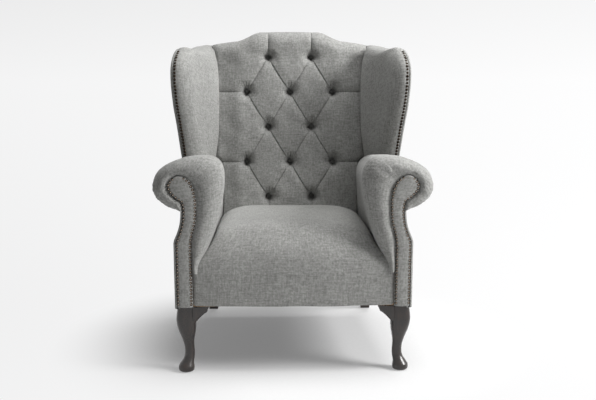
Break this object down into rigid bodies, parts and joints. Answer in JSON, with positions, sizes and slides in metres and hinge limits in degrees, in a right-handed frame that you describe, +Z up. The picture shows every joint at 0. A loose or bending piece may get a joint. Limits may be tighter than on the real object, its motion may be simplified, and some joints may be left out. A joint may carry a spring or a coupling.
{
  "type": "wing armchair",
  "caption": "Upholstered wing armchair with a diamond-buttoned back, scroll arms edged with domed nails, a tight sprung seat and dark cabriole front legs.",
  "frame": {"origin": "on the floor under the middle of the chair's box", "axes": "+Z up, the sitter faces -Y, +X is to the right of someone who looks at the chair's front"},
  "size_m": [0.85, 0.7724, 1.0764],
  "materials": {
    "upholstery": "woven grey wool-like cloth, matte, fine light and dark yarns",
    "dark_wood": "dark brown stained beech, satin to gloss lacquer",
    "beech": "plain sawn beech, unfinished",
    "antique_brass": "antiqued, dark in the hollows and bright on the crowns",
    "spring_steel": "drawn wire, dull",
    "bolt_steel": "zinc plated",
    "hessian": "open jute weave",
    "webbing": "jute webbing",
    "black_cloth": "thin black lining cloth"
  },
  "bodies": {
    "root": {"front_seat_rail": "beech", "back_seat_rail": "beech", "side_seat_rail_left": "beech", "side_seat_rail_right": "beech", "corner_blocks": "beech", "back_post_left": "beech", "back_post_right": "beech", "crest_rail": "beech", "lower_back_rail": "beech", "scroll_board_left": "beech", "scroll_board_right": "beech", "arm_rail_left": "beech", "arm_rail_right": "beech", "arm_tack_rail_left": "beech", "arm_tack_rail_right": "beech", "wing_post_left": "beech", "wing_post_right": "beech", "wing_top_rail_left": "beech", "wing_top_rail_right": "beech", "front_leg_left": "dark_wood", "front_leg_right": "dark_wood", "knee_brackets": "dark_wood", "leg_bolts": "bolt_steel", "glides": "bolt_steel", "seat_springs": "spring_steel", "spring_clips": "spring_steel", "seat_hessian": "hessian", "back_webbing": "webbing", "back_hessian": "hessian", "seat_pad": "upholstery", "front_border": "upholstery", "back_pad": "upholstery", "back_buttons": "upholstery", "arm_pad_left": "upholstery", "arm_pad_right": "upholstery", "wing_pad_left": "upholstery", "wing_pad_right": "upholstery", "arm_facing_left": "upholstery", "arm_facing_right": "upholstery", "outside_arm_left": "upholstery", "outside_arm_right": "upholstery", "outside_wing_left": "upholstery", "outside_wing_right": "upholstery", "outside_back": "upholstery", "bottom_cover": "black_cloth", "arm_nails_left": "antique_brass", "arm_nails_right": "antique_brass", "wing_nails_left": "antique_brass", "wing_nails_right": "antique_brass"}
  },
  "joints": []
}
